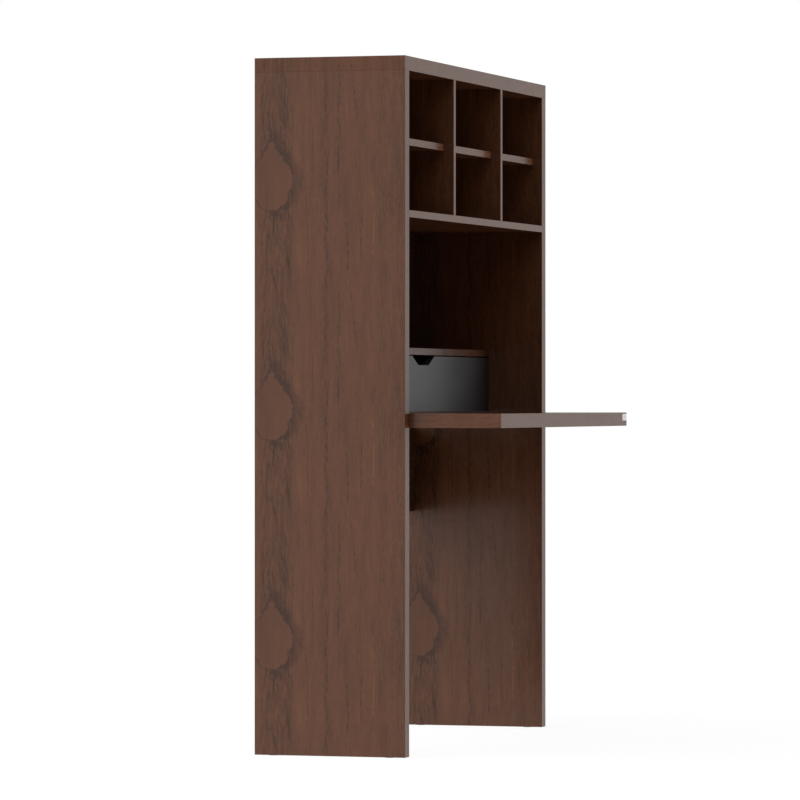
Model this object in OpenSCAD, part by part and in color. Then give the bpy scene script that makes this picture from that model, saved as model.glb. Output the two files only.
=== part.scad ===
// Desk hutch: a tall open cabinet with six cubbies, a shelf over a wide shallow drawer, and a desk
// top that slides out of the front. All the sizes are in millimetres.
// +Z is up, +X is to the right and the front faces -Y. The origin is on the floor, in the middle of
// the footprint that the cabinet and its pulled-out desk top cover together.

/* [Cabinet] */
// Outer width of the cabinet
cabinet_w = 1150; // [1050:10:1250]
// Depth of the side panels
cabinet_d = 350; // [345:1:360]
// Height from the floor to the top
cabinet_h = 1550; // [1530:5:1600]
// Thickness of the side panels, the top and the desk top
thick_board = 32; // [30:1:34]
// Thickness of the shelves, dividers and back panels
thin_board = 16; // [16:1:18]
// Thickness of the edge bands
band_t = 1; // [0.8:0.1:1.5]
// Distance from the front of the side panels to the face of the back panels
back_inset = 325; // [322:1:327]

/* [Desk top] */
// Height of the desk's surface
desk_z = 760; // [740:5:775]
// How far the desk top stands out of the front
pull_out = 211; // [200:1:215]
// Gap at each end of the desk top
desk_end_gap = 1; // [0.8:0.1:1.5]
// Height of the lower edge of the modesty panel
modesty_z = 520; // [480:5:560]

/* [Shelves] */
// Height of the shelf over the drawer, at its upper face
monitor_shelf_z = 910; // [900:5:920]
// How far the shelf and the drawer stand back from the front
drawer_inset = 133; // [130:1:140]
// Height of the floor of the cubbies, at its upper face
cubby_floor_z = 1210; // [1190:5:1230]
// How far the small shelves stand back from the front
small_shelf_inset = 21; // [10:1:30]

/* [Drawer] */
// How far the drawer opens
drawer_travel = 150; // [120:5:150]
// Gap under the drawer front
drawer_gap_low = 3; // [2:0.5:4]
// Gap over the drawer front
drawer_gap_high = 2.5; // [2:0.5:4]
// Width of the finger scoop at its top
scoop_top_w = 175; // [150:5:190]
// Width of the finger scoop at its bottom
scoop_low_w = 82; // [60:2:100]
// Depth of the finger scoop
scoop_d = 21; // [16:1:24]

/* [Hidden] */
$fn = 48;

WALNUT = [0.28, 0.16, 0.11];
EDGE = [0.36, 0.23, 0.17];
DARK_PAINT = [0.10, 0.10, 0.11];
BOX_GREY = [0.34, 0.34, 0.35];
ZINC = [0.72, 0.73, 0.75];
BEECH = [0.80, 0.66, 0.48];
NYLON = [0.90, 0.90, 0.88];
RUBBER = [0.08, 0.08, 0.08];
PALE = [0.86, 0.86, 0.85];

// Main planes of the cabinet
inner_w = cabinet_w - 2 * thick_board;
inner_x = inner_w / 2;
front_y = (pull_out - cabinet_d) / 2;
rear_y = front_y + cabinet_d;
back_face_y = front_y + back_inset;
back_rear_y = back_face_y + thin_board;
glide_h = 1;
glide_r = 12;
glide_stem_r = 4;
glide_stem = 23;
top_z = cabinet_h - thick_board;
half = thin_board / 2;

// Shelves and dividers
cubby_floor_mid = cubby_floor_z - half;
monitor_shelf_mid = monitor_shelf_z - half;
monitor_shelf_y = front_y + drawer_inset;
divider_x = cabinet_w / 6;
small_shelf_low = (cubby_floor_z + top_z) / 2 - half;
small_shelf_gap = 1.5;
small_shelf_y = front_y + small_shelf_inset;
small_shelf_depth = back_face_y - small_shelf_y - 1;
cubby_spans = [
    [-inner_x, -divider_x - half],
    [-divider_x + half, divider_x - half],
    [divider_x + half, inner_x]
];

// Desk top, in its pulled-out place
desk_x = inner_x - desk_end_gap;
desk_front_y = front_y - pull_out;
desk_rear_y = rear_y - pull_out;
desk_low_z = desk_z - thick_board;
desk_mid_z = desk_z - thick_board / 2;
desk_slot = 2;
insert_w = 38;
insert_d = 60;
insert_h = 15.5;
insert_lip = 3.5;
insert_r = 1.5;
insert_gap = 0.1;
insert_cut = 2;
insert_screw_head_r = 4.2;

// Edge bands
band_r = 0.7;

// Cam fittings: a bolt in one board's face and a cam in the next board's edge
cam_r = 7.5;
cam_depth = 12.5;
cam_axis = 8;
cam_reach = 34;
fit_gap = 0.1;
bolt_thread = 11;
bolt_thread_r = 2.4;
bolt_collar_r = 3.2;
bolt_bore_r = 3.6;
cap_r = 8.5;
cap_t = 0.4;
dowel_r = 4;
dowel_face = 11;
dowel_edge = 19;
dowel_spare = 0.5;
floor_cam_y = [front_y + 45, back_face_y - 45];
floor_dowel_y = [front_y + 90, back_face_y - 90];
shelf_cam_y = [monitor_shelf_y + 35, back_face_y - 35];
shelf_dowel_y = [monitor_shelf_y + 70, back_face_y - 70];
side_top_cam_y = [front_y + 50, rear_y - 50];
side_top_dowel_y = [front_y + 100, rear_y - 100];
back_mid_y = back_face_y + half;
back_low_z = desk_z + desk_slot;
back_cam_z = [back_low_z + 60, (back_low_z + top_z) / 2, top_z - 60];
back_dowel_z = [for (z = back_cam_z) z + 26];
modesty_top_z = desk_low_z - desk_slot;
modesty_cam_z = [modesty_z + 40, modesty_top_z - 40];
modesty_dowel_z = [modesty_z + 75, modesty_top_z - 75];
divider_dowel_y = [front_y + 60, back_face_y - 60];

// Screws through the back panel into the edges behind which they lie
back_screw_len = 36;
back_screw_x = [-inner_x * 0.78, -inner_x * 0.12, inner_x * 0.12, inner_x * 0.78];
divider_screw_z = [cubby_floor_z + 90, top_z - 90];

// Shelf pins: each runs in a groove in the shelf's end, so that nothing shows under the shelf
pin_r = 2.45;
pin_hole_r = 2.5;
pin_depth = 9;
pin_reach = 8;
pin_flat = 2;
pin_collar_r = 4;
pin_collar_t = 1.2;
pin_y = [small_shelf_y + 40, back_face_y - 45];
pin_seat = 10;
pin_groove_d = 7;
pin_groove_h = 5;
pin_groove_start = small_shelf_y + 36;

// Wall brackets, in the two outer cubbies at the top
bracket_x = (inner_x + divider_x + half) / 2;
bracket_w = 30;
bracket_leg = 40;
bracket_t = 2;
bracket_hole_r = 2.75;
wall_hole_r = 4;
wall_hole_z = top_z - 25;

// Desk guides: a channel in a groove of each side panel, and a carriage on each end of the desk top
groove_h = 26;
groove_d = 13;
groove_start = 9.5;
channel_t = 1.5;
channel_h = 25.6;
channel_d = 12.5;
channel_mouth = 17;
channel_start = front_y + groove_start + 0.5;
carriage_len = 112;
carriage_start = front_y + 19;
carriage_h = 15;
carriage_t = 1.5;
carriage_d = 9.5;
pad_len = 28;
pad_h = 22;
pad_floor = 1.3;
pad_d = 7.4;
stop_gap = 0.3;
channel_screw_y = [front_y + 60, front_y + 180, front_y + 300];
carriage_screw_y = [carriage_start + 40, carriage_start + carriage_len - 40];

// Drawer
drawer_front_w = inner_w - 6;
drawer_front_y = monitor_shelf_y;
drawer_front_t = 16;
drawer_front_low = desk_z + drawer_gap_low;
drawer_front_top = monitor_shelf_z - thin_board - drawer_gap_high;
box_y = drawer_front_y + drawer_front_t;
box_rear_y = back_face_y - 5.5;
box_t = 12;
box_low = desk_z + 15;
box_top = box_low + 90;
slide_w = 12.7;
box_x = inner_x - slide_w;
bottom_t = 4;
bottom_low = box_low + 8;
bottom_tongue = 5;
box_screw_z = [box_low + 15, box_top - 12];
box_screw_len = 34;
bumper_r = 6;
bumper_h = 5.2;
front_screw_x = [-420, -140, 140, 420];
front_screw_z = box_low + 60;

// Drawer slides: three nested channels a side, kept apart by nylon pads
slide_t = 1.2;
slide_mid_z = box_low + 40;
slide_start = box_y + 2.5;
slide_len = 165;
outer_h = 45;
outer_d = 10.4;
outer_lip = 1.5;
middle_h = 36.4;
middle_x = 2.4;
middle_end = 9.8;
middle_lip = 3;
inner_h = 26;
inner_start = 4.8;
inner_lip = 2.5;
slide_pad_len = slide_len / 2 - drawer_travel / 4 - 0.2;
slide_screw_y = [slide_start + 25, slide_start + 140];

// Helpers

module block(low, high) {
    translate(low) cube(high - low);
}

// Left and right hand: the children are drawn for the left side, with X = 0 on the inner face of the
// side panel and +X towards the middle of the cabinet.
module on_side(side) {
    if (side < 0) {
        translate([-inner_x, 0, 0]) children();
    } else {
        mirror([1, 0, 0]) translate([-inner_x, 0, 0]) children();
    }
}

// A cylinder that runs along +X from the origin
module bar(r, length) {
    rotate([0, 90, 0]) cylinder(r = r, h = length);
}

function arc(centre, r, from, to, steps = 4) =
    [for (i = [0:steps]) centre + r * [cos(from + (to - from) * i / steps),
                                       sin(from + (to - from) * i / steps)]];

function unit(v) = v / norm(v);

// The arc of radius r that rounds the corner b between the points a and c
function fillet(a, b, c, r, steps = 8) =
    let (u = unit(a - b), w = unit(c - b), turn = acos(u * w) / 2,
         centre = b + unit(u + w) * r / sin(turn),
         p = b + u * r / tan(turn) - centre, q = b + w * r / tan(turn) - centre,
         from = atan2(p.y, p.x), sweep = (atan2(q.y, q.x) - from + 540) % 360 - 180)
    arc(centre, r, from, from + sweep, steps);

// Section of an edge band: x is its thickness, with the two outer edges eased, and y its width
function band_section(width) = concat(
    [[band_t, 0]],
    [[band_t, width]],
    arc([band_r, width - band_r], band_r, 90, 180),
    arc([band_r, band_r], band_r, 180, 270));

// A band on the front edge of a lying board
module lying_band(x0, x1, y, z0, z1) {
    translate([x0, y, z0]) rotate([90, 0, 90])
        linear_extrude(x1 - x0) polygon(band_section(z1 - z0));
}

// A band on the front edge of a standing board
module standing_band(x0, x1, y, z0, z1) {
    translate([x0, y, z0]) linear_extrude(z1 - z0)
        polygon([for (p = band_section(x1 - x0)) [p.y, p.x]]);
}

// Screws point along +X, with the seat of the head at the origin
module pan_screw(r, length, head_r, head_h) {
    bar(r, length);
    difference() {
        translate([-head_h, 0, 0]) bar(head_r, head_h);
        drive_recess(-head_h, head_r * 1.1, head_h / 2);
    }
}

module flat_screw(r, length, head_r) {
    difference() {
        union() {
            bar(r, length);
            rotate([0, 90, 0]) cylinder(r1 = head_r, r2 = r, h = head_r - r);
        }
        drive_recess(0, head_r * 1.2, 1.2);
    }
}

module flat_screw_hole(r, length, head_r) {
    translate([-0.2, 0, 0]) bar(r + fit_gap, length + 1.2);
    rotate([0, 90, 0])
        translate([0, 0, -0.2]) cylinder(r1 = head_r + 0.3, r2 = r, h = head_r - r + 0.3);
}

module drive_recess(x, width, depth) {
    for (turn = [0, 90])
        translate([x - 0.1, 0, 0]) rotate([turn, 0, 0])
            translate([0, -width / 2, -0.5]) cube([depth + 0.1, width, 1]);
}

// Cam fitting: X = 0 is the joint, +X runs into the board with the cam, which opens to -Z
module cam_holes() {
    translate([cam_reach, 0, -cam_axis - 1]) cylinder(r = cam_r, h = cam_depth + 1.2);
    bar(bolt_bore_r, cam_reach);
    translate([-bolt_thread - 1, 0, 0]) bar(bolt_thread_r + fit_gap, bolt_thread + 1);
}

module cam_lock() {
    difference() {
        translate([cam_reach, 0, -cam_axis]) cylinder(r = cam_r - fit_gap, h = cam_depth);
        translate([cam_reach - cam_r - 1, 0, 0]) bar(bolt_bore_r, cam_r + 4);
        for (turn = [45, 135])
            translate([cam_reach, 0, -cam_axis - 0.1]) rotate([0, 0, turn])
                translate([-4, -0.7, 0]) cube([8, 1.4, 2.6]);
    }
}

module cam_bolt() {
    translate([-bolt_thread, 0, 0]) bar(bolt_thread_r, bolt_thread + 1);
    bar(bolt_collar_r, cam_reach - cam_r - 0.5);
    bar(2, cam_reach - 1);
    translate([cam_reach - 3, 0, 0]) bar(bolt_collar_r, 3.5);
}

// A thin veneered cap over a cam
module cam_cap() {
    translate([cam_reach, 0, -cam_axis - cap_t]) cylinder(r = cap_r, h = cap_t);
}

module dowel() {
    translate([-dowel_face, 0, 0]) bar(dowel_r - fit_gap / 2, dowel_face + dowel_edge);
}

module dowel_hole() {
    translate([-dowel_face - dowel_spare, 0, 0])
        bar(dowel_r, dowel_face + dowel_edge + 2 * dowel_spare);
}

// Places of the fittings: at the ends of lying boards, at the ends of the upright back panels, and
// under the ends of the top

module at_shelf_ends(z, ys, sides = [-1, 1]) {
    for (side = sides, y = ys)
        translate([side * inner_x, y, z]) rotate([0, 0, side < 0 ? 0 : 180]) children();
}

module at_panel_ends(zs, sides = [-1, 1]) {
    for (side = sides, z = zs)
        translate([side * inner_x, back_mid_y, z])
            rotate([side < 0 ? 90 : -90, 0, side < 0 ? 0 : 180]) children();
}

module at_side_tops(ys, sides = [-1, 1]) {
    for (side = sides, y = ys)
        translate([side * (inner_x + cam_axis), y, top_z])
            rotate([side < 0 ? 180 : 0, 90, 0]) children();
}

module at_divider_ends(sides = [-1, 1], ends = ["low", "high"]) {
    for (side = sides, y = divider_dowel_y, end = ends)
        translate([side * divider_x, y, end == "low" ? cubby_floor_z : top_z])
            rotate([0, end == "low" ? -90 : 90, 0]) children();
}

module at_all_cams(sides = [-1, 1]) {
    at_shelf_ends(cubby_floor_mid, floor_cam_y, sides) children();
    at_shelf_ends(monitor_shelf_mid, shelf_cam_y, sides) children();
    at_panel_ends(back_cam_z, sides) children();
    at_panel_ends(modesty_cam_z, sides) children();
    at_side_tops(side_top_cam_y, sides) children();
}

module at_all_side_dowels(sides = [-1, 1]) {
    at_shelf_ends(cubby_floor_mid, floor_dowel_y, sides) children();
    at_shelf_ends(monitor_shelf_mid, shelf_dowel_y, sides) children();
    at_panel_ends(back_dowel_z, sides) children();
    at_panel_ends(modesty_dowel_z, sides) children();
    at_side_tops(side_top_dowel_y, sides) children();
}

// Screws of the back panel, seen from behind: their heads are on its rear face
module at_back_screws() {
    for (x = back_screw_x, z = [cubby_floor_mid, monitor_shelf_mid])
        translate([x, back_rear_y, z]) rotate([0, 0, -90]) children();
    for (side = [-1, 1], z = divider_screw_z)
        translate([side * divider_x, back_rear_y, z]) rotate([0, 0, -90]) children();
}

module back_screw_hole() {
    flat_screw_hole(2, back_screw_len, 4);
}

module at_shelf_pins() {
    for (span = cubby_spans, y = pin_y) {
        translate([span[0], y, small_shelf_low + pin_seat]) children();
        translate([span[1], y, small_shelf_low + pin_seat]) rotate([0, 0, 180]) children();
    }
}

// The pin's axis lies pin_flat under the roof of the groove, which rests on the flat of the pin
module shelf_pin_hole() {
    translate([-pin_depth - 0.5, 0, -pin_flat]) bar(pin_hole_r, pin_depth + 0.5);
}

module shelf_pin() {
    difference() {
        translate([-pin_depth, 0, -pin_flat]) bar(pin_r, pin_depth + pin_reach);
        block([0, -4, 0], [pin_reach + 1, 4, 2]);
    }
    difference() {
        translate([0, 0, -pin_flat]) bar(pin_collar_r, pin_collar_t);
        block([-1, -5, 0], [2, 5, 3]);
    }
}

module at_foot_glides() {
    for (side = [-1, 1], y = [front_y + 40, rear_y - 40])
        translate([side * (inner_x + thick_board / 2), y, 0]) children();
}

module at_wall_brackets() {
    for (side = [-1, 1])
        translate([side * bracket_x, back_face_y, top_z]) children();
}

// Screws of a wall bracket, from below into the top panel
module at_bracket_screws() {
    at_wall_brackets() {
        for (y = [-14, -31])
            translate([0, y, -bracket_t]) rotate([0, -90, 0]) children();
    }
}

module at_channel_screws() {
    for (side = [-1, 1], y = channel_screw_y)
        on_side(side) translate([channel_t - groove_d, y, desk_mid_z]) rotate([0, 0, 180]) children();
}

module at_carriage_screws() {
    for (side = [-1, 1], y = carriage_screw_y)
        on_side(side) translate([desk_end_gap - carriage_t, y, desk_mid_z]) children();
}

module at_outer_slide_screws() {
    for (side = [-1, 1], y = slide_screw_y)
        on_side(side) translate([slide_t, y, slide_mid_z]) rotate([0, 0, 180]) children();
}

module at_inner_slide_screws() {
    for (side = [-1, 1], y = slide_screw_y)
        on_side(side) translate([slide_w - slide_t, y, slide_mid_z]) children();
}

module at_front_screws() {
    for (x = front_screw_x)
        translate([x, box_y + box_t, front_screw_z]) rotate([0, 0, -90]) children();
}

module at_box_screws() {
    for (side = [-1, 1], y = [box_y + box_t / 2, box_rear_y - box_t / 2], z = box_screw_z)
        on_side(side) translate([slide_w, y, z]) children();
}

// Cabinet boards

module side_panel(side) {
    difference() {
        on_side(side)
            block([-thick_board, front_y + band_t, glide_h], [0, rear_y, top_z]);
        at_all_cams([side]) cam_holes();
        at_all_side_dowels([side]) dowel_hole();
        at_shelf_pins() shelf_pin_hole();
        at_foot_glides() cylinder(r = glide_stem_r + fit_gap, h = glide_stem + 1);
        on_side(side)
            block([-groove_d, front_y + groove_start, desk_mid_z - groove_h / 2],
                  [1, rear_y + 1, desk_mid_z + groove_h / 2]);
        at_channel_screws() bar(1.8, 16);
        at_outer_slide_screws() bar(1.8, 15);
    }
}

module side_panel_left() {
    color(WALNUT) side_panel(-1);
}

module side_panel_right() {
    color(WALNUT) side_panel(1);
}

module side_edge_bands() {
    color(EDGE) {
        standing_band(-cabinet_w / 2, -inner_x, front_y, glide_h, top_z);
        standing_band(inner_x, cabinet_w / 2, front_y, glide_h, top_z);
    }
}

module top_panel() {
    edge_x = cabinet_w / 2 - band_t;
    color(WALNUT) difference() {
        block([-edge_x, front_y + band_t, top_z], [edge_x, rear_y, cabinet_h]);
        at_side_tops(side_top_cam_y) cam_holes();
        at_side_tops(side_top_dowel_y) dowel_hole();
        at_divider_ends(ends = ["high"]) dowel_hole();
        at_bracket_screws() bar(2, 17);
    }
}

module top_edge_bands() {
    edge_x = cabinet_w / 2;
    color(EDGE) {
        lying_band(-edge_x, edge_x, front_y, top_z, cabinet_h);
        for (side = [0, 1])
            mirror([side, 0, 0]) translate([-edge_x, front_y + cabinet_d, top_z])
                rotate([90, 0, 0]) linear_extrude(cabinet_d - band_t)
                    polygon(band_section(thick_board));
    }
}

// A fixed shelf between the side panels, without its edge band
module fixed_shelf(y, top) {
    block([-inner_x, y + band_t, top - thin_board], [inner_x, back_face_y, top]);
}

module cubby_floor() {
    color(WALNUT) difference() {
        fixed_shelf(front_y, cubby_floor_z);
        at_shelf_ends(cubby_floor_mid, floor_cam_y) cam_holes();
        at_shelf_ends(cubby_floor_mid, floor_dowel_y) dowel_hole();
        at_divider_ends(ends = ["low"]) dowel_hole();
        at_back_screws() back_screw_hole();
    }
}

module cubby_divider(side) {
    difference() {
        block([side * divider_x - half, front_y + band_t, cubby_floor_z],
              [side * divider_x + half, back_face_y, top_z]);
        at_divider_ends(sides = [side]) dowel_hole();
        at_back_screws() back_screw_hole();
        at_shelf_pins() shelf_pin_hole();
    }
}

module cubby_divider_left() {
    color(WALNUT) cubby_divider(-1);
}

module cubby_divider_right() {
    color(WALNUT) cubby_divider(1);
}

module cubby_edge_bands() {
    color(EDGE) {
        lying_band(-inner_x, inner_x, front_y, cubby_floor_z - thin_board, cubby_floor_z);
        for (side = [-1, 1])
            standing_band(side * divider_x - half, side * divider_x + half,
                          front_y, cubby_floor_z, top_z);
    }
}

module small_shelf(span) {
    x0 = span[0] + small_shelf_gap;
    x1 = span[1] - small_shelf_gap;
    rear = small_shelf_y + small_shelf_depth;
    roof = small_shelf_low + pin_seat;
    difference() {
        block([x0, small_shelf_y + band_t, small_shelf_low],
              [x1, rear, small_shelf_low + thin_board]);
        for (x = [x0, x1])
            block([x - pin_groove_d, pin_groove_start, roof - pin_groove_h],
                  [x + pin_groove_d, rear + 1, roof]);
    }
}

module cubby_shelf_left() {
    color(WALNUT) small_shelf(cubby_spans[0]);
}

module cubby_shelf_middle() {
    color(WALNUT) small_shelf(cubby_spans[1]);
}

module cubby_shelf_right() {
    color(WALNUT) small_shelf(cubby_spans[2]);
}

module small_shelf_edge_bands() {
    color(EDGE) for (span = cubby_spans)
        lying_band(span[0] + small_shelf_gap, span[1] - small_shelf_gap, small_shelf_y,
                   small_shelf_low, small_shelf_low + thin_board);
}

module monitor_shelf() {
    color(WALNUT) difference() {
        fixed_shelf(monitor_shelf_y, monitor_shelf_z);
        at_shelf_ends(monitor_shelf_mid, shelf_cam_y) cam_holes();
        at_shelf_ends(monitor_shelf_mid, shelf_dowel_y) dowel_hole();
        at_back_screws() back_screw_hole();
    }
}

module monitor_shelf_edge_band() {
    color(EDGE)
        lying_band(-inner_x, inner_x, monitor_shelf_y, monitor_shelf_z - thin_board,
                   monitor_shelf_z);
}

module back_panel() {
    color(WALNUT) difference() {
        block([-inner_x, back_face_y, back_low_z], [inner_x, back_rear_y, top_z]);
        at_panel_ends(back_cam_z) cam_holes();
        at_panel_ends(back_dowel_z) dowel_hole();
        at_back_screws() back_screw_hole();
        at_wall_brackets()
            translate([0, -1, wall_hole_z - top_z]) rotate([-90, 0, 0])
                cylinder(r = wall_hole_r, h = thin_board + 2);
    }
}

module modesty_panel() {
    color(WALNUT) difference() {
        block([-inner_x, back_face_y, modesty_z], [inner_x, back_rear_y, modesty_top_z]);
        at_panel_ends(modesty_cam_z) cam_holes();
        at_panel_ends(modesty_dowel_z) dowel_hole();
    }
}

// Cabinet hardware

module foot_glides() {
    color(RUBBER) at_foot_glides() {
        cylinder(r1 = glide_r - 1, r2 = glide_r, h = glide_h);
        cylinder(r = glide_stem_r, h = glide_stem);
    }
}

// Caps over the cams that face the cubbies and the space under them
module cam_caps() {
    color(EDGE) {
        at_side_tops(side_top_cam_y) cam_cap();
        at_shelf_ends(cubby_floor_mid, floor_cam_y) cam_cap();
    }
}

module cam_locks() {
    color(ZINC) at_all_cams() cam_lock();
}

module cam_bolts() {
    color(ZINC) at_all_cams() cam_bolt();
}

module panel_dowels() {
    color(BEECH) {
        at_all_side_dowels() dowel();
        at_divider_ends() dowel();
    }
}

module shelf_pins() {
    color(ZINC) at_shelf_pins() shelf_pin();
}

module back_screws() {
    color(ZINC) at_back_screws() flat_screw(2 - fit_gap, back_screw_len, 4);
}

module wall_bracket(side) {
    difference() {
        translate([side * bracket_x, back_face_y, top_z]) {
            block([-bracket_w / 2, -bracket_leg, -bracket_t], [bracket_w / 2, 0, 0]);
            block([-bracket_w / 2, -bracket_t, -bracket_leg], [bracket_w / 2, 0, 0]);
        }
        at_bracket_screws() translate([-1, 0, 0]) bar(2.2, bracket_t + 2);
        translate([side * bracket_x, back_face_y - bracket_t - 1, wall_hole_z])
            rotate([-90, 0, 0]) cylinder(r = bracket_hole_r, h = bracket_t + 2);
    }
}

module wall_bracket_left() {
    color(ZINC) wall_bracket(-1);
}

module wall_bracket_right() {
    color(ZINC) wall_bracket(1);
}

module wall_bracket_screws() {
    color(ZINC) at_bracket_screws() pan_screw(1.9, 17, 3.8, 1.8);
}

// Desk guides

module guide_channel(side) {
    low = desk_mid_z - channel_h / 2;
    high = desk_mid_z + channel_h / 2;
    difference() {
        on_side(side) difference() {
            block([-groove_d, channel_start, low], [channel_d - groove_d, rear_y, high]);
            block([channel_t - groove_d, channel_start - 1, low + channel_t],
                  [channel_d - channel_t - groove_d, rear_y + 1, high - channel_t]);
            block([-channel_t - 1, channel_start - 1, desk_mid_z - channel_mouth / 2],
                  [1, rear_y + 1, desk_mid_z + channel_mouth / 2]);
        }
        at_channel_screws() translate([-1, 0, 0]) bar(1.9, channel_t + 2);
    }
}

module guide_channel_left() {
    color(ZINC) guide_channel(-1);
}

module guide_channel_right() {
    color(ZINC) guide_channel(1);
}

module guide_channel_screws() {
    color(ZINC) at_channel_screws() pan_screw(1.7, 14, 3.4, 1.3);
}

// A rubber stop in the channel, between two places along it
module guide_stop(from, to) {
    clear = 0.2;
    block([channel_t + clear - groove_d, from, desk_mid_z - channel_h / 2 + channel_t + clear],
          [channel_d - channel_t - clear - groove_d, to,
           desk_mid_z + channel_h / 2 - channel_t - clear]);
}

module guide_stops() {
    color(RUBBER) for (side = [-1, 1])
        on_side(side) {
            guide_stop(channel_start + 0.5, carriage_start - stop_gap);
            guide_stop(carriage_start + carriage_len + pull_out + stop_gap, rear_y - 1);
        }
}

// Section of a carriage, swelled by grow: a channel that opens towards the side panel
module carriage_shape(from, to, grow = 0) {
    reach = desk_end_gap - carriage_d;
    inside = carriage_h / 2 - carriage_t - grow;
    difference() {
        block([reach - grow, from, desk_mid_z - carriage_h / 2 - grow],
              [desk_end_gap, to, desk_mid_z + carriage_h / 2 + grow]);
        block([reach - grow - 1, from - 1, desk_mid_z - inside],
              [desk_end_gap - carriage_t - grow, to + 1, desk_mid_z + inside]);
    }
}

module desk_carriage(side) {
    difference() {
        on_side(side) carriage_shape(carriage_start, carriage_start + carriage_len);
        at_carriage_screws() translate([-1, 0, 0]) bar(2.1, carriage_t + 2);
    }
}

module desk_carriage_left() {
    color(ZINC) desk_carriage(-1);
}

module desk_carriage_right() {
    color(ZINC) desk_carriage(1);
}

module carriage_pads() {
    pad_x = desk_end_gap - carriage_d - pad_floor;
    color(NYLON) for (side = [-1, 1], y = [carriage_start, carriage_start + carriage_len - pad_len])
        on_side(side) difference() {
            block([pad_x, y, desk_mid_z - pad_h / 2], [pad_x + pad_d, y + pad_len,
                   desk_mid_z + pad_h / 2]);
            carriage_shape(y - 1, y + pad_len + 1, 0.05);
        }
}

module carriage_screws() {
    color(ZINC) at_carriage_screws() pan_screw(1.9, 28, 3.6, 1.8);
}

// Desk top

// The pocket in the front right corner, grown to cut or shrunk to fill
module insert_block(grow) {
    low_z = desk_z - insert_lip - insert_h;
    past = grow > 0 ? insert_cut : 0;
    translate([0, 0, low_z - grow])
        linear_extrude(insert_h + 2 * grow)
            polygon(concat(
                [[desk_x + past, desk_front_y - past]],
                [[desk_x + past, desk_front_y + insert_d + grow]],
                arc([desk_x - insert_w + insert_r, desk_front_y + insert_d - insert_r],
                    insert_r + grow, 90, 180),
                [[desk_x - insert_w - grow, desk_front_y - past]]));
}

module insert_screw_place() {
    translate([desk_x - insert_w / 2, desk_front_y + insert_d / 2, desk_low_z + 1])
        rotate([0, -90, 0]) children();
}

module desk_top() {
    color(WALNUT) difference() {
        block([-desk_x + band_t, desk_front_y + band_t, desk_low_z],
              [desk_x - band_t, desk_rear_y, desk_z]);
        insert_block(insert_gap);
        insert_screw_place() {
            bar(2.1, 14);
            translate([-2, 0, 0]) bar(insert_screw_head_r, 4);
        }
        at_carriage_screws() bar(2, 29);
    }
}

module desk_edge_bands() {
    end_len = desk_rear_y - desk_front_y - band_t;
    color(EDGE) difference() {
        union() {
            lying_band(-desk_x, desk_x, desk_front_y, desk_low_z, desk_z);
            for (side = [0, 1])
                mirror([side, 0, 0]) translate([-desk_x, desk_rear_y, desk_low_z])
                    rotate([90, 0, 0]) linear_extrude(end_len) polygon(band_section(thick_board));
        }
        insert_block(insert_gap);
        at_carriage_screws() bar(2, 29);
    }
}

module corner_insert() {
    color(PALE) difference() {
        insert_block(0);
        insert_screw_place() bar(1.9, 20);
    }
}

module corner_insert_screw() {
    color(ZINC) insert_screw_place() translate([2, 0, 0]) pan_screw(1.7, 17, 3.6, 1.8);
}

// Drawer

// Outline of the drawer front: x across, y up from its lower edge
function front_outline(w, h) =
    let (x1 = scoop_top_w / 2, x2 = scoop_low_w / 2, low = h - scoop_d,
         lip_r = 10, low_r = 14)
    concat(
        [[-w / 2, 0], [w / 2, 0], [w / 2, h]],
        fillet([w / 2, h], [x1, h], [x2, low], lip_r),
        fillet([x1, h], [x2, low], [-x2, low], low_r),
        fillet([x2, low], [-x2, low], [-x1, h], low_r),
        fillet([-x2, low], [-x1, h], [-w / 2, h], lip_r),
        [[-w / 2, h]]);

module drawer_front() {
    height = drawer_front_top - drawer_front_low;
    color(DARK_PAINT) difference() {
        translate([0, box_y, drawer_front_low]) rotate([90, 0, 0])
            linear_extrude(drawer_front_t) polygon(front_outline(drawer_front_w, height));
        at_front_screws() bar(1.9, box_t + 13);
    }
}

// The groove that runs round inside the drawer box and holds its bottom
module bottom_groove(spare) {
    reach = bottom_tongue + spare;
    block([-box_x + box_t - reach, box_y + box_t - reach, bottom_low - spare],
          [box_x - box_t + reach, box_rear_y - box_t + reach, bottom_low + bottom_t + spare]);
}

module drawer_box_side(side) {
    difference() {
        on_side(side)
            block([slide_w, box_y, box_low], [slide_w + box_t, box_rear_y, box_top]);
        bottom_groove(fit_gap);
        at_box_screws() flat_screw_hole(2, box_screw_len, 4);
        at_inner_slide_screws() bar(1.7, 11.5);
    }
}

module drawer_box_left() {
    color(BOX_GREY) drawer_box_side(-1);
}

module drawer_box_right() {
    color(BOX_GREY) drawer_box_side(1);
}

// The front and back walls of the drawer box, between its sides
module drawer_box_wall(y) {
    difference() {
        block([box_t - box_x, y, box_low], [box_x - box_t, y + box_t, box_top]);
        bottom_groove(fit_gap);
        at_box_screws() flat_screw_hole(2, box_screw_len, 4);
        at_front_screws() translate([-1, 0, 0]) bar(2.1, box_t + 2);
    }
}

module drawer_box_front() {
    color(BOX_GREY) drawer_box_wall(box_y);
}

module drawer_box_back() {
    color(BOX_GREY) drawer_box_wall(box_rear_y - box_t);
}

module drawer_bottom() {
    color(BOX_GREY) bottom_groove(0);
}

module drawer_front_screws() {
    color(ZINC) at_front_screws() pan_screw(1.8, box_t + 12, 4, 2);
}

module drawer_box_screws() {
    color(ZINC) at_box_screws() flat_screw(2 - fit_gap, box_screw_len, 4);
}

module drawer_bumpers() {
    color(RUBBER) for (x = [-0.8, 0.8] * box_x)
        translate([x, box_rear_y, (box_low + box_top) / 2])
            rotate([-90, 0, 0]) cylinder(r = bumper_r, h = bumper_h);
}

// Drawer slides

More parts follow.
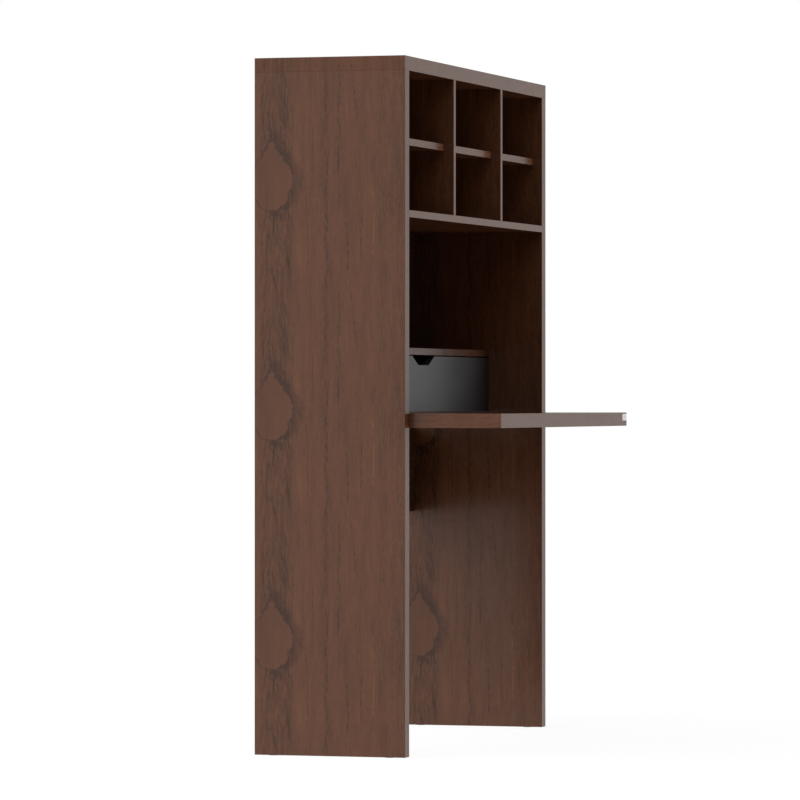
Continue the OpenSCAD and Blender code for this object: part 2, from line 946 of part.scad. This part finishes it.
// A channel of the given height that is open at one side, with its web at x0 and its mouth at x1.
// Its lips point in where lip is positive and out where it is negative.
module slide_channel(x0, x1, height, lip) {
    y0 = slide_start;
    y1 = slide_start + slide_len;
    low = slide_mid_z - height / 2;
    high = slide_mid_z + height / 2;
    way = sign(x1 - x0) * slide_t;
    difference() {
        block([min(x0, x1), y0, low], [max(x0, x1), y1, high]);
        block([min(x0 + way, x1 + way), y0 - 1, low + slide_t],
              [max(x0 + way, x1 + way), y1 + 1, high - slide_t]);
    }
    for (end = [-1, 1]) {
        a = slide_mid_z + end * (height / 2 - (lip > 0 ? slide_t : 0));
        b = a - end * lip;
        block([min(x1, x1 - way), y0, min(a, b)], [max(x1, x1 - way), y1, max(a, b)]);
    }
}

// A pair of nylon pads, over and under a channel: |z| from z0 to z1 off the slide's axis
module slide_pads(x0, x1, y0, z0, z1) {
    block([x0, y0, slide_mid_z + z0], [x1, y0 + slide_pad_len, slide_mid_z + z1]);
    block([x0, y0, slide_mid_z - z1], [x1, y0 + slide_pad_len, slide_mid_z - z0]);
}

module slide_outer(side) {
    difference() {
        on_side(side) slide_channel(0, outer_d, outer_h, outer_lip);
        at_outer_slide_screws() translate([-1, 0, 0]) bar(1.9, slide_t + 2);
    }
}

module slide_outer_left() {
    color(ZINC) slide_outer(-1);
}

module slide_outer_right() {
    color(ZINC) slide_outer(1);
}

module slide_outer_pads() {
    color(NYLON) for (side = [-1, 1])
        on_side(side) slide_pads(middle_x, outer_d - slide_t - 0.1, slide_start,
                                 middle_h / 2 + 0.15, outer_h / 2 - slide_t);
}

module slide_outer_screws() {
    color(ZINC) at_outer_slide_screws() pan_screw(1.7, 14, 3.2, 0.9);
}

module slide_middle(side) {
    on_side(side) slide_channel(middle_x, middle_end, middle_h, middle_lip);
}

module slide_middle_pads(side) {
    rear = slide_start + slide_len - slide_pad_len;
    on_side(side) {
        slide_pads(middle_x, outer_d - slide_t - 0.1, rear,
                   middle_h / 2, outer_h / 2 - slide_t - 0.15);
        slide_pads(inner_start + slide_t + 0.1, middle_end - slide_t, slide_start,
                   inner_h / 2 + 0.15, middle_h / 2 - slide_t);
    }
}

module slide_middle_left() {
    color(ZINC) slide_middle(-1);
}

module slide_middle_right() {
    color(ZINC) slide_middle(1);
}

module slide_middle_left_pads() {
    color(NYLON) slide_middle_pads(-1);
}

module slide_middle_right_pads() {
    color(NYLON) slide_middle_pads(1);
}

module slide_inner(side) {
    difference() {
        on_side(side) slide_channel(slide_w, inner_start, inner_h, -inner_lip);
        at_inner_slide_screws() translate([-1, 0, 0]) bar(1.9, slide_t + 2);
    }
}

module slide_inner_left() {
    color(ZINC) slide_inner(-1);
}

module slide_inner_right() {
    color(ZINC) slide_inner(1);
}

module slide_inner_pads() {
    rear = slide_start + slide_len - slide_pad_len;
    color(NYLON) for (side = [-1, 1])
        on_side(side) slide_pads(inner_start + slide_t, middle_end - slide_t - 0.1, rear,
                                 inner_h / 2, middle_h / 2 - slide_t - 0.15);
}

module slide_inner_screws() {
    color(ZINC) at_inner_slide_screws() pan_screw(1.6, 11, 3.2, 1);
}

side_panel_left();
side_panel_right();
top_panel();
cubby_floor();
cubby_divider_left();
cubby_divider_right();
cubby_shelf_left();
cubby_shelf_middle();
cubby_shelf_right();
monitor_shelf();
back_panel();
modesty_panel();
side_edge_bands();
top_edge_bands();
cubby_edge_bands();
small_shelf_edge_bands();
monitor_shelf_edge_band();
foot_glides();
cam_caps();
cam_locks();
cam_bolts();
panel_dowels();
shelf_pins();
back_screws();
wall_bracket_left();
wall_bracket_right();
wall_bracket_screws();
guide_channel_left();
guide_channel_right();
guide_channel_screws();
guide_stops();
slide_outer_left();
slide_outer_right();
slide_outer_pads();
slide_outer_screws();
desk_top();
desk_edge_bands();
desk_carriage_left();
desk_carriage_right();
carriage_pads();
carriage_screws();
corner_insert();
corner_insert_screw();
slide_middle_left();
slide_middle_left_pads();
slide_middle_right();
slide_middle_right_pads();
drawer_front();
drawer_box_front();
drawer_box_left();
drawer_box_right();
drawer_box_back();
drawer_bottom();
drawer_front_screws();
drawer_box_screws();
drawer_bumpers();
slide_inner_left();
slide_inner_right();
slide_inner_pads();
slide_inner_screws();
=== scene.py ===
import math

import bpy
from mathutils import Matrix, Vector


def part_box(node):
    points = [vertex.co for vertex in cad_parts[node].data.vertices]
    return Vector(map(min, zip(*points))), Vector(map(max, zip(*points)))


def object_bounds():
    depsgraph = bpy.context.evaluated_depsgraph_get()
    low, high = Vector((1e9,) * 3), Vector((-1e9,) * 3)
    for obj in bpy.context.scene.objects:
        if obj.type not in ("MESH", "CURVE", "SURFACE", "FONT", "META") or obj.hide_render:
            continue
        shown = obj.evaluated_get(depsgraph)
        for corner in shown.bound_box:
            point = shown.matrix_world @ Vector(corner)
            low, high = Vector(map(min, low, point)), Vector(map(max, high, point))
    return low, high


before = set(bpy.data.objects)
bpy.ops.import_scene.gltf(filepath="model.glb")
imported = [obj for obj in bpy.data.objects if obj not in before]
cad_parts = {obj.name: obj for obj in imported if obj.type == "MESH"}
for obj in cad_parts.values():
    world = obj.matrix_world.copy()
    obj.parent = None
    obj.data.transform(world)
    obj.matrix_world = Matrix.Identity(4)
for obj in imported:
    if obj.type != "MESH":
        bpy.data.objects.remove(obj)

cad_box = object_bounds()

REAR = cad_box[1].y
START = 1.0  # added to x, so that a place along a lying board's grain is never below 0
START_Y = 0.7  # added to y, likewise, where the grain runs from front to rear

# ---------------------------------------------------------------- sizes of the veneer, in metres
SKIN = 0.0006  # thickness of the veneer on the boards
REPEAT = 0.510  # the veneer's figure comes again after this length
LEAF = 0.350  # width of one leaf of veneer
LEAF_SLIP = 0.17  # how much further along its grain each leaf lies than the one before it
OVAL_ACROSS = 0.040  # centre line of the plain oval, from the leaf's edge
OVAL_HALF = 0.048
OVAL_UP = 0.098  # from its widest place to its tip
OVAL_DOWN = 0.068
OVAL_Z = 0.259  # height of its widest place above the floor, less whole repeats
BELT_FROM, BELT_TO = 0.018, 0.088  # the belt of dark strands, across the leaf
VEIN_ACROSS = 0.2765  # the light vein, across the leaf
VEIN_STRETCHES = ((-0.165, -0.085, 1.0), (-0.036, 0.004, 0.6))  # from, to, strength
CALM_FROM, CALM_FULL = 0.285, 0.300  # the calm wood near the front edge begins here, across the leaf
BAND_FROM, BAND_W = 0.290, 0.050  # the strip of calm wood that the edge bands are cut from

# Dark growth lines: place across the leaf, where each begins and ends along it, half width, strength
GROWTH_LINES = (
    (0.123, -0.250, -0.050, 0.0018, 0.8),
    (0.137, 0.020, 0.120, 0.0016, 0.7),
    (0.166, 0.110, 0.250, 0.0050, 0.6),
    (0.168, -0.250, 0.060, 0.0044, 0.8),
    (0.195, 0.020, 0.250, 0.0018, 0.8),
    (0.215, -0.250, -0.080, 0.0022, 0.9),
    (0.232, 0.160, 0.250, 0.0016, 0.8),
    (0.248, -0.180, -0.080, 0.0015, 1.0),
)

WALNUT_DARK = (0.050, 0.0155, 0.0050)
WALNUT_MID = (0.113, 0.0387, 0.0145)
WALNUT_LIGHT = (0.168, 0.0610, 0.0250)

CHIP_DARK = (0.160, 0.0850, 0.0400)
CHIP_MID = (0.420, 0.2700, 0.1400)
CHIP_LIGHT = (0.620, 0.4500, 0.2700)

LACQUER_IOR = 1.45
BAND_IOR = 1.41
PLASTIC_IOR = 1.50

# ---------------------------------------------------------------- camera, in heights of the part
CAMERA_AWAY = 7.32397
CAMERA_LEFT = 0.00711
CAMERA_UP = 0.50956
CAMERA_TURN = -72.762  # degrees from facing the rear
LENS, SENSOR = 231.78, 36.0  # millimetres


# ---------------------------------------------------------------- node trees
class Wire:
    """A number in a node tree; arithmetic on it adds Math nodes."""

    def __init__(self, tree, socket):
        self.tree, self.socket = tree, socket

    def maths(self, operation, *others):
        made = self.tree.nodes.new("ShaderNodeMath")
        made.operation = operation
        for entry, value in zip(made.inputs, (self, *others)):
            plug(self.tree, entry, value)
        return Wire(self.tree, made.outputs[0])

    def __add__(self, other):
        return self.maths("ADD", other)

    def __sub__(self, other):
        return self.maths("SUBTRACT", other)

    def __mul__(self, other):
        return self.maths("MULTIPLY", other)

    def __truediv__(self, other):
        return self.maths("DIVIDE", other)

    def __pow__(self, other):
        return self.maths("POWER", other)

    def __gt__(self, other):
        return self.maths("GREATER_THAN", other)

    def __abs__(self):
        return self.maths("ABSOLUTE")

    def __neg__(self):
        return self * -1.0

    def inverted(self):
        return self * -1.0 + 1.0

    def rise(self, low, high):
        """0 up to low, 1 from high on, smooth between."""
        made = self.tree.nodes.new("ShaderNodeMapRange")
        made.interpolation_type = "SMOOTHSTEP"
        plug(self.tree, made.inputs["Value"], self)
        made.inputs["From Min"].default_value = low
        made.inputs["From Max"].default_value = high
        return Wire(self.tree, made.outputs["Result"])

    def window(self, low, high, soft):
        """1 between low and high, 0 outside, with edges that are soft wide."""
        return self.rise(low - soft, low) * self.rise(high, high + soft).inverted()


def plug(tree, entry, value):
    """Links a wire or socket to entry, or sets its value."""
    if isinstance(value, Wire):
        value = value.socket
    if isinstance(value, bpy.types.NodeSocket):
        tree.links.new(value, entry)
    else:
        entry.default_value = value


def point(tree, x, y, z):
    made = tree.nodes.new("ShaderNodeCombineXYZ")
    for entry, value in zip(made.inputs, (x, y, z)):
        plug(tree, entry, value)
    return made.outputs[0]


def place(tree):
    """The surface point in the frame of the part, in metres, as three wires."""
    where = tree.nodes.new("ShaderNodeTexCoord")
    split = tree.nodes.new("ShaderNodeSeparateXYZ")
    tree.links.new(where.outputs["Object"], split.inputs[0])
    return [Wire(tree, out) for out in split.outputs]


def facing(tree):
    """The surface normal in the frame of the part, as three wires."""
    where = tree.nodes.new("ShaderNodeTexCoord")
    split = tree.nodes.new("ShaderNodeSeparateXYZ")
    tree.links.new(where.outputs["Normal"], split.inputs[0])
    return [Wire(tree, out) for out in split.outputs]


def noise(tree, x, y, z, detail=2.0):
    """Smooth noise from 0 to 1 about 0.5, one lump to each unit."""
    made = tree.nodes.new("ShaderNodeTexNoise")
    made.inputs["Scale"].default_value = 1.0
    made.inputs["Detail"].default_value = detail
    plug(tree, made.inputs["Vector"], point(tree, x, y, z))
    return Wire(tree, made.outputs["Fac"])


def cells(tree, x, y, z, output="Distance"):
    made = tree.nodes.new("ShaderNodeTexVoronoi")
    made.inputs["Scale"].default_value = 1.0
    plug(tree, made.inputs["Vector"], point(tree, x, y, z))
    return Wire(tree, made.outputs[output])


def either(tree, choice, yes, no):
    """The number yes where choice is 1 and no where it is 0."""
    return choice * yes + choice.inverted() * no


def ramp(tree, tone, *stops):
    """A colour from tone through (place, colour) stops."""
    made = tree.nodes.new("ShaderNodeValToRGB")
    bar = made.color_ramp.elements
    while len(bar) < len(stops):
        bar.new(0.5)
    for stop, (at, colour) in zip(bar, stops):
        stop.position, stop.color = at, (*colour, 1.0)
    plug(tree, made.inputs["Fac"], tone)
    return made.outputs["Color"]


def blend(tree, share, first, second):
    made = tree.nodes.new("ShaderNodeMix")
    made.data_type = "RGBA"
    plug(tree, made.inputs[0], share)
    for entry, colour in ((made.inputs[6], first), (made.inputs[7], second)):
        plug(tree, entry, (*colour, 1.0) if isinstance(colour, tuple) else colour)
    return made.outputs[2]


def relief(tree, height, depth, strength=1.0):
    made = tree.nodes.new("ShaderNodeBump")
    made.inputs["Distance"].default_value = depth
    made.inputs["Strength"].default_value = strength
    plug(tree, made.inputs["Height"], height)
    return made.outputs[0]


def blank(name):
    """A new material with a Principled shader; returns it, its tree and its shader."""
    made = bpy.data.materials.new(name)
    made.use_nodes = True
    tree = made.node_tree
    shader = next(n for n in tree.nodes if n.type == "BSDF_PRINCIPLED")
    return made, tree, shader


# ---------------------------------------------------------------- walnut
def figure(tree, along, across):
    """Tone and relief of flat-cut walnut veneer, from the places along and across its grain."""
    leaf = (across / LEAF).maths("FLOOR")
    t = across - leaf * LEAF
    s = along + leaf * LEAF_SLIP
    u = (s - OVAL_Z + REPEAT / 2).maths("FLOORED_MODULO", REPEAT) - REPEAT / 2

    def round_trip(length):
        """This length wound on a ring, so that what is read there comes again after REPEAT."""
        turn, reach = length * (2 * math.pi / REPEAT), REPEAT / (2 * math.pi)
        return turn.maths("COSINE") * reach, turn.maths("SINE") * reach

    ring = round_trip(s)

    def grain(width, length, detail, seed):
        """Noise in lumps of this width across the leaf and this length along it."""
        return noise(tree, t / width + seed, ring[0] / length, ring[1] / length, detail)

    # The plain oval and its ragged dark rim
    ragged = grain(0.014, 0.018, 3.0, 3.0) + grain(0.005, 0.007, 2.0, 4.0) * 0.6 - 0.8
    p = (t - OVAL_ACROSS) / OVAL_HALF
    up = (u / OVAL_UP).maths("MAXIMUM", 0.0).maths("MINIMUM", 1.0)
    down = (-u / OVAL_DOWN).maths("MAXIMUM", 0.0).maths("MINIMUM", 1.0)
    half = (up * up).inverted() ** 2.1 * (down * down).inverted() ** 0.5
    out = abs(p) - half + ragged * 0.55
    near = u.window(-OVAL_DOWN - 0.014, OVAL_UP + 0.004, 0.016)
    thick = p.rise(-0.3, 0.8) * 0.26 + 0.06
    rim = out.rise(-0.03, 0.04) * (out / thick).rise(0.7, 2.4).inverted() * near
    inside = out.rise(-0.06, 0.0).inverted() * near

    # Dark strands and arches over the oval, along the leaf's edge
    lean = u + abs(t - OVAL_ACROSS) * 3.2 + (grain(0.018, 0.050, 2.0, 9.0) - 0.5) * 0.10
    arch_ring = round_trip(lean)
    arch = noise(tree, arch_ring[0] / 0.020, arch_ring[1] / 0.020, t / 0.03, 2.5)
    belt = t.window(BELT_FROM, BELT_TO, 0.006) * inside.inverted()
    arches = arch.rise(0.44, 0.62) * grain(0.009, 0.030, 2.0, 21.0).rise(0.32, 0.60) * belt
    strands = grain(0.0042, 0.034, 3.0, 23.0).rise(0.44, 0.64)
    strands = strands * grain(0.012, 0.060, 1.0, 25.0).rise(0.32, 0.54) * belt

    # Thin wavy growth lines in the middle of the leaf
    wavy = t + (grain(0.030, 0.060, 1.0, 5.0) - 0.5) * 0.018
    wavy = wavy + (grain(0.006, 0.020, 2.0, 6.0) - 0.5) * 0.003
    frayed = grain(0.0024, 0.013, 3.0, 13.0).rise(0.38, 0.62)
    lines = t * 0.0
    for at, low, high, wide, strength in GROWTH_LINES:
        line = abs(wavy - at).rise(wide * 0.2, wide * 1.6).inverted() * u.window(low, high, 0.012)
        lines = lines.maths("MAXIMUM", line * strength)
    lines = lines * frayed

    # A light vein, fine fibres, mottle and broad shades
    off_vein = abs(t - VEIN_ACROSS + (grain(0.05, 0.05, 1.0, 31.0) - 0.5) * 0.006)
    stretches = t * 0.0
    for low, high, strength in VEIN_STRETCHES:
        stretches = stretches.maths("MAXIMUM", u.window(low, high, 0.010) * strength)
    vein = off_vein.rise(0.0008, 0.0024).inverted() * stretches
    vein = vein * grain(0.5, 0.010, 2.0, 33.0).rise(0.34, 0.56)
    fibre = grain(0.0034, 0.045, 3.0, 41.0) - 0.5
    strand = grain(0.0085, 0.110, 2.0, 43.0) - 0.5
    mottle = grain(0.0050, 0.013, 3.0, 51.0) - 0.5
    broad = grain(0.030, 0.120, 1.0, 61.0) - 0.5
    calm = t.rise(CALM_FROM, CALM_FULL)
    plain = (inside * 0.65).inverted()

    pores = noise(tree, t / 0.00045, s / 0.0075, 7.0, 1.0).rise(0.60, 0.70)
    hairs = noise(tree, t / 0.0007, s / 0.050, 2.0, 2.0) - 0.5

    tone = (
        fibre * plain * 0.58
        + strand * plain * 0.55
        + mottle * plain * (calm * 0.23 + 0.42)
        + broad * 0.40
        + hairs * 0.28
        + t.window(0.092, 0.124, 0.006) * 0.08
        + vein * 0.85
        - calm * 0.08
        - belt * 0.02
        - inside * 0.03
        - rim * 0.46
        - arches * 0.27
        - strands * 0.28
        - lines * 0.62
        - pores * 0.14
        + 0.58
    )
    height = hairs * 0.35 + fibre * 0.3 - pores
    return tone, height, pores


def core(tree, x, y, z):
    """Relief and colour of the pressed chips inside a board."""
    chips = cells(tree, x / 0.0022, y / 0.0022, z / 0.0009, "Color")
    dust = noise(tree, x / 0.0008, y / 0.0008, z / 0.0008, 2.0)
    tone = chips * 0.6 + dust * 0.4
    colour = ramp(tree, tone, (0.1, CHIP_DARK), (0.5, CHIP_MID), (0.9, CHIP_LIGHT))
    return tone, colour


def walnut(tree, tone):
    """The colour of walnut of this tone."""
    return ramp(tree, tone, (0.0, WALNUT_DARK), (0.5, WALNUT_MID), (1.0, WALNUT_LIGHT))


def lacquered(tree, shader, colour, rough, height, depth, IOR=LACQUER_IOR):
    plug(tree, shader.inputs["Base Color"], colour)
    plug(tree, shader.inputs["Roughness"], rough)
    plug(tree, shader.inputs["Normal"], relief(tree, height, depth))
    shader.inputs["IOR"].default_value = IOR


def walnut_board(name, kind, slip, shift):
    """Veneered board: kind is standing, back or lying. Chips show in its holes and on its raw edges."""
    made, tree, shader = blank("walnut_" + name)
    x, y, z = place(tree)
    low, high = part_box(name)
    along, across, through, axis = {
        "standing": (z, -y + REAR, x, 0),
        "back": (z, x + START, y, 1),
        "lying": (x + START, -y + REAR, z, 2),
    }[kind]
    tone, height, pores = figure(tree, along + slip, across + shift)
    middle, half = (low[axis] + high[axis]) / 2, (high[axis] - low[axis]) / 2
    raw = (abs(through - middle) > half - SKIN).inverted()
    chips, chip_colour = core(tree, x, y, z)
    colour = blend(tree, raw, walnut(tree, tone), chip_colour)
    smears = noise(tree, x / 0.09, y / 0.09, z / 0.09, 3.0)
    rough = either(tree, raw, 0.9, smears * 0.08 + pores * 0.14 + 0.11)
    lacquered(tree, shader, colour, rough, either(tree, raw, chips, height * 0.3), 0.00035)
    return made


def walnut_band(name, standing, ends, painted_light):
    """Edge band with a calm figure. standing(x, y, z) is 1 where its strips stand. ends says how the grain
    runs at the board's ends: along them, or upright. The last argument says how much lighter the band is
    painted: painted light on the bands at the front, painted shade on a band set far back."""
    made, tree, shader = blank("walnut_" + name)
    x, y, z = place(tree)
    upright = standing(x, y, z)
    along = either(tree, upright, z, x + START)
    across = either(tree, upright, x, z).maths("PINGPONG", BAND_W) + BAND_FROM
    if ends:
        end = abs(facing(tree)[0]) > 0.7
    if ends == "upright":
        along, across = either(tree, end, z, along), either(tree, end, -y + REAR, across)
    elif ends == "along":
        along = either(tree, end, y + START_Y, along)
    tone, height, pores = figure(tree, along, across)
    # Painted light: the band's tone is lifted by how lit it should look. A band set far back gets less, which
    # is painted shade.
    colour = walnut(tree, tone * 0.45 + painted_light)
    if ends:
        colour = blend(tree, end, colour, walnut(tree, tone))
    smears = noise(tree, x / 0.05, y / 0.05, z / 0.05, 3.0)
    rough = smears * 0.10 + pores * 0.10 + 0.18
    lacquered(tree, shader, colour, rough, height * 0.2, 0.00030, BAND_IOR)
    return made


def walnut_caps():
    """Veneered caps over the cams, which carry on the figure of the boards that they lie on."""
    made, tree, shader = blank("walnut_caps")
    x, y, z = place(tree)
    standing = abs(facing(tree)[0]) > 0.7
    slip, shift = BOARDS["cubby_floor"][1:]
    along = either(tree, standing, z, x + START + slip)
    across = standing.inverted() * shift - y + REAR
    tone, height, pores = figure(tree, along, across)
    smears = noise(tree, x / 0.05, y / 0.05, z / 0.05, 3.0)
    rough = smears * 0.08 + pores * 0.14 + 0.11
    lacquered(tree, shader, walnut(tree, tone), rough, height * 0.3, 0.00035)
    return made


# ---------------------------------------------------------------- other finishes
def drawer_lacquer():
    """Dark grey satin lacquer with a fine skin and faint smears."""
    made, tree, shader = blank("drawer_lacquer")
    x, y, z = place(tree)
    skin = noise(tree, x / 0.0011, y / 0.0011, z / 0.0011, 2.0)
    smears = noise(tree, x / 0.11, y / 0.11, z / 0.045, 4.0)
    specks = noise(tree, x / 0.0035, y / 0.0035, z / 0.0035, 3.0)
    tone = smears * 0.5 + specks * 0.5
    colour = ramp(tree, tone, (0.25, (0.024, 0.024, 0.026)), (0.75, (0.034, 0.034, 0.036)))
    lacquered(tree, shader, colour, smears * 0.12 + specks * 0.05 + 0.25, skin, 0.00004)
    return made


def drawer_box_board():
    """Grey melamine with a fine embossed grain."""
    made, tree, shader = blank("drawer_box_board")
    x, y, z = place(tree)
    emboss = noise(tree, x / 0.006, y / 0.0007, z / 0.0007, 3.0)
    cloud = noise(tree, x / 0.06, y / 0.06, z / 0.03, 3.0)
    specks = cells(tree, x / 0.0012, y / 0.0012, z / 0.0012)
    tone = emboss * 0.5 + cloud * 0.3 + specks * 0.2
    colour = ramp(tree, tone, (0.2, (0.055, 0.056, 0.060)), (0.8, (0.115, 0.116, 0.122)))
    lacquered(tree, shader, colour, cloud * 0.10 + emboss * 0.10 + 0.42, emboss, 0.00006)
    return made


def zinc_steel():
    """Bright zinc plate on pressed steel: drawn lines, soft clouds and dull spots."""
    made, tree, shader = blank("zinc_steel")
    x, y, z = place(tree)
    drawn = noise(tree, x / 0.0004, y / 0.020, z / 0.0004, 3.0)
    cloud = noise(tree, x / 0.012, y / 0.018, z / 0.012, 4.0)
    spots = noise(tree, x / 0.0022, y / 0.0022, z / 0.0022, 2.0).rise(0.60, 0.75)
    tone = cloud * 0.7 + drawn * 0.3
    colour = ramp(tree, tone, (0.2, (0.46, 0.47, 0.50)), (0.5, (0.60, 0.61, 0.63)), (0.8, (0.70, 0.69, 0.66)))
    shader.inputs["Metallic"].default_value = 1.0
    rough = cloud * 0.18 + drawn * 0.10 + spots * 0.15 + 0.18
    plug(tree, shader.inputs["Base Color"], colour)
    plug(tree, shader.inputs["Roughness"], rough)
    plug(tree, shader.inputs["Normal"], relief(tree, drawn * 0.6 + spots * 0.4, 0.00002))
    return made


def moulded(name, dark, light, rough, grain, depth):
    """Moulded plastic or rubber: a fine eroded skin whose lumps are grain wide, pits and flow marks."""
    made, tree, shader = blank(name)
    x, y, z = place(tree)
    skin = noise(tree, x / grain, y / grain, z / grain, 3.0)
    pits = cells(tree, x / grain * 0.5, y / grain * 0.5, z / grain * 0.5)
    flow = noise(tree, x / 0.011, y / 0.016, z / 0.007, 3.0)
    tone = flow * 0.6 + skin * 0.4
    colour = ramp(tree, tone, (0.25, dark), (0.75, light))
    rough = flow * 0.12 + skin * 0.12 + rough
    lacquered(tree, shader, colour, rough, skin * 0.6 + pits * 0.4, depth, PLASTIC_IOR)
    return made


def beech():
    """Raw fluted beech with its short dark flecks."""
    made, tree, shader = blank("beech")
    x, y, z = place(tree)
    flecks = noise(tree, x / 0.0004, y / 0.0004, z / 0.003, 2.0)
    wood = noise(tree, x / 0.004, y / 0.004, z / 0.020, 3.0)
    tone = wood * 0.5 + flecks * 0.5
    colour = ramp(tree, tone, (0.3, (0.44, 0.27, 0.14)), (0.7, (0.68, 0.50, 0.32)))
    lacquered(tree, shader, colour, flecks * 0.15 + 0.6, flecks, 0.00010)
    return made


# ---------------------------------------------------------------- what goes on what
# Each board: how it lies, and how far its veneer is slipped along and across its grain
BOARDS = {
    "side_panel_left": ("standing", 0.0, 0.0),
    "side_panel_right": ("standing", 0.022, 0.0),
    "cubby_divider_left": ("standing", 0.179, 0.0),
    "cubby_divider_right": ("standing", 0.165, 0.0),
    "back_panel": ("back", 0.20, 0.12),
    "modesty_panel": ("back", 0.20, 0.12),
    "top_panel": ("lying", 0.10, 0.0),
    "cubby_floor": ("lying", 0.23, 0.06),
    "cubby_shelf_left": ("lying", 0.37, 0.11),
    "cubby_shelf_middle": ("lying", 0.05, 0.19),
    "cubby_shelf_right": ("lying", 0.44, 0.02),
    "monitor_shelf": ("lying", 0.16, 0.13),
    "desk_top": ("lying", 0.29, 0.0),
}


def never(x, y, z):
    return x * 0.0


def always(x, y, z):
    return x * 0.0 + 1.0


def above_cubby_floor(x, y, z):
    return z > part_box("cubby_floor")[1].z


# Each edge band: where its strips stand, how the grain runs at the ends of the board, how light it is painted
# (painted light on the bands at the front, painted shade on the monitor shelf's band, which is set far back)
BANDS = {
    "side_edge_bands": (always, None, 0.36),
    "top_edge_bands": (never, "upright", 0.36),
    "cubby_edge_bands": (above_cubby_floor, None, 0.36),
    "small_shelf_edge_bands": (never, None, 0.36),
    # The monitor shelf's band is set far back. Its low value is painted shade for the light that its recess
    # keeps off it.
    "monitor_shelf_edge_band": (never, None, 0.06),
    "desk_edge_bands": (never, "along", 0.36),
}

# Each plastic or rubber: its name, dark colour, light colour, roughness, size of its skin's lumps, relief
PLASTICS = (
    ("nylon", (0.68, 0.68, 0.64), (0.82, 0.82, 0.79), 0.34, 0.0008, 0.00003),
    ("rubber", (0.018, 0.018, 0.018), (0.040, 0.040, 0.041), 0.66, 0.0006, 0.00006),
    ("black_plastic", (0.012, 0.012, 0.013), (0.028, 0.028, 0.029), 0.42, 0.0005, 0.00005),
    ("pale_plastic", (0.86, 0.86, 0.85), (0.92, 0.92, 0.91), 0.24, 0.0007, 0.00003),
)


def finish_everything():
    """Gives each CAD node the finish of its material slot."""
    finishes = {
        "drawer_lacquer": drawer_lacquer(),
        "drawer_box_board": drawer_box_board(),
        "zinc_steel": zinc_steel(),
        "beech": beech(),
    }
    for name, *look in PLASTICS:
        finishes[name] = moulded(name, *look)
    for name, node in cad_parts.items():
        slot = node.data.materials[0].name
        if name in BOARDS:
            made = walnut_board(name, *BOARDS[name])
        elif name in BANDS:
            made = walnut_band(name, *BANDS[name])
        elif name == "cam_caps":
            made = walnut_caps()
        else:
            made = finishes[slot]
        for each in range(len(node.data.materials)):
            node.data.materials[each] = made


# ---------------------------------------------------------------- studio
def studio_light(tree):
    """How bright the room is in each direction: a broad soft box high on the left over a paler wall, a
    narrow strip on the right, a pale floor before the part, a fill from the front right that is strongest
    from below, and light from behind."""
    where = tree.nodes.new("ShaderNodeTexCoord")
    split = tree.nodes.new("ShaderNodeSeparateXYZ")
    tree.links.new(where.outputs["Generated"], split.inputs[0])
    x, y, z = (Wire(tree, out) for out in split.outputs)
    left = y * 0.40 - x * 0.92
    wall = left.rise(0.40, 0.90) * 0.42
    box = left.rise(-0.1, 0.6) * z.rise(0.15, 0.75) * 1.42
    strip = x.rise(0.25, 0.60) * (-y).rise(-0.2, 0.2) * abs(z).rise(0.25, 0.55).inverted() * 0.64
    floor = (-z).rise(0.05, 0.5) * (-y).rise(-0.1, 0.5) * 0.38
    fill = (-y).rise(0.45, 0.85) * x.rise(0.0, 0.35) * ((-z).rise(-0.1, 0.3) * 2.10 + 1.25)
    rear = y.rise(0.06, 0.56) * (z.rise(-0.5, 0.1) * 0.38 + 0.72)
    return wall + box + strip + floor + fill + rear + 0.01


def studio():
    """A soft white room. The camera sees plain white behind the part, and a pale floor that only it sees."""
    scene = bpy.context.scene
    scene.view_settings.view_transform = "Standard"
    world = bpy.data.worlds.new("studio")
    world.use_nodes = True
    tree = world.node_tree
    back = next(n for n in tree.nodes if n.type == "BACKGROUND")
    back.inputs["Color"].default_value = (1.0, 1.0, 1.0, 1.0)
    seen = Wire(tree, tree.nodes.new("ShaderNodeLightPath").outputs["Is Camera Ray"])
    plug(tree, back.inputs["Strength"], seen + seen.inverted() * studio_light(tree))
    scene.world = world
    reach = 60.0
    mesh = bpy.data.meshes.new("floor")
    corners = [(-reach, -reach, 0), (reach, -reach, 0), (reach, reach, 0), (-reach, reach, 0)]
    mesh.from_pydata(corners, [], [range(4)])
    floor = bpy.data.objects.new("floor", mesh)
    scene.collection.objects.link(floor)
    for kind in ("diffuse", "glossy", "transmission", "shadow"):
        setattr(floor, "visible_" + kind, False)
    made, tree, shader = blank("floor")
    shader.inputs["Base Color"].default_value = (0.10, 0.10, 0.10, 1.0)
    shader.inputs["Roughness"].default_value = 1.0
    shader.inputs["Specular IOR Level"].default_value = 0.0
    shader.inputs["Emission Color"].default_value = (1.0, 1.0, 1.0, 1.0)
    shader.inputs["Emission Strength"].default_value = 0.93
    mesh.materials.append(made)


def camera():
    """Far to the left of the front and level, with a long lens, so that uprights stay upright."""
    low, high = cad_box
    edge = Vector((low.x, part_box("side_edge_bands")[0].y, 0.0))
    tall = high.z - low.z
    turn = math.radians(CAMERA_TURN)
    ahead = Vector((-math.sin(turn), math.cos(turn), 0.0))
    right = Vector((math.cos(turn), math.sin(turn), 0.0))
    lens = bpy.data.cameras.new("camera")
    lens.lens, lens.sensor_width = LENS, SENSOR
    lens.clip_start, lens.clip_end = 0.5, 200.0
    made = bpy.data.objects.new("camera", lens)
    made.location = edge - ahead * (CAMERA_AWAY * tall) - right * (CAMERA_LEFT * tall)
    made.location.z = CAMERA_UP * tall
    made.rotation_euler = (math.radians(90.0), 0.0, turn)
    bpy.context.scene.collection.objects.link(made)
    bpy.context.scene.camera = made


finish_everything()
studio()
camera()
